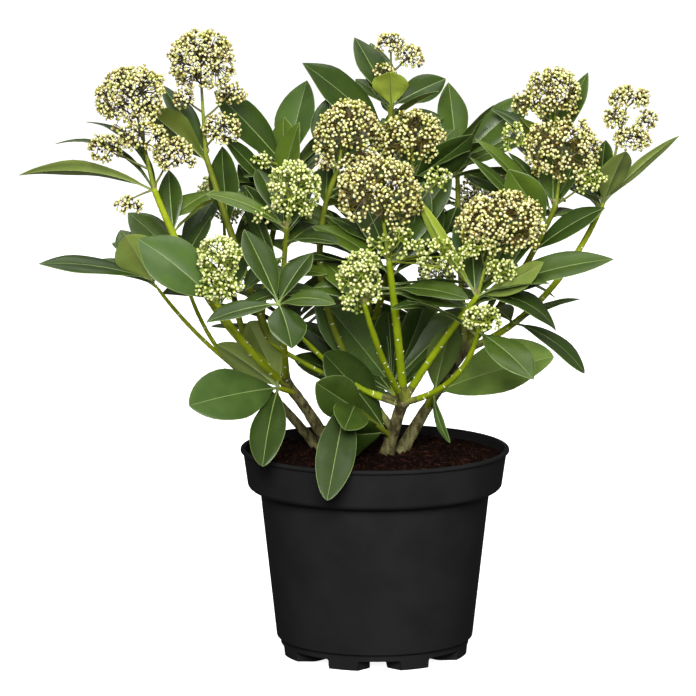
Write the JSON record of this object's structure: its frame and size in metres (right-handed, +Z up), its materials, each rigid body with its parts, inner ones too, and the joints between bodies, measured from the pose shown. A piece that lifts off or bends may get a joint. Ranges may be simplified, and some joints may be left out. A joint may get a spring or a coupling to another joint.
{
  "type": "potted skimmia shrub",
  "caption": "Potted evergreen skimmia in bud: dark leathery leaves and domed heads of cream flower buds on green stems, growing from compost in a black round nursery pot.",
  "frame": {"origin": "centre of the pot's flat underside", "axes": "+Z up, -Y towards the front as pictured, +X to the right as seen from the front"},
  "size_m": [0.4599, 0.3031, 0.4414],
  "materials": {
    "pot": "satin black moulded plastic",
    "compost": "damp crumbly peat",
    "bark": "grey-brown woody bark",
    "green_bark": "smooth yellow-green young bark",
    "foliage": "glossy leathery leaves and cream buds"
  },
  "bodies": {
    "root": {"pot": "pot", "compost": "compost", "trunk_left": "bark", "trunk_left_rear": "bark", "trunk_right": "bark", "trunk_right_rear": "bark", "trunk_rear": "bark", "bough_left_high": "green_bark", "bough_left_top": "green_bark", "bough_left_mid": "green_bark", "bough_left_low": "green_bark", "bough_left_thin": "green_bark", "bough_front_left": "green_bark", "bough_mid_left": "green_bark", "bough_mid_top": "green_bark", "bough_back_left": "green_bark", "bough_top_mid": "green_bark", "bough_mid_right": "green_bark", "bough_right_back": "green_bark", "bough_front_mid": "green_bark", "bough_front_low": "green_bark", "bough_right_mid": "green_bark", "bough_right_front": "green_bark", "bough_right_high": "green_bark", "bough_right_top": "green_bark", "bough_far_right": "green_bark", "bough_rear_left": "green_bark", "bough_rear_mid": "green_bark", "bough_rear_right": "green_bark", "bough_rear_low_left": "green_bark", "bough_rear_low_right": "green_bark", "mass_left_high": "foliage", "mass_left_top": "foliage", "mass_left_mid": "foliage", "mass_left_low": "foliage", "mass_left_thin": "foliage", "mass_front_left": "foliage", "mass_mid_left": "foliage", "mass_mid_top": "foliage", "mass_back_left": "foliage", "mass_top_mid": "foliage", "mass_mid_right": "foliage", "mass_right_back": "foliage", "mass_front_mid": "foliage", "mass_front_low": "foliage", "mass_right_mid": "foliage", "mass_right_front": "foliage", "mass_right_high": "foliage", "mass_right_top": "foliage", "mass_far_right": "foliage", "mass_right_low": "foliage", "mass_right_foot": "foliage", "mass_left_foot": "foliage", "mass_low_front": "foliage", "mass_mid_foot": "foliage", "mass_rear_left": "foliage", "mass_rear_mid": "foliage", "mass_rear_right": "foliage", "mass_rear_low_left": "foliage", "mass_rear_low_right": "foliage"}
  },
  "joints": []
}
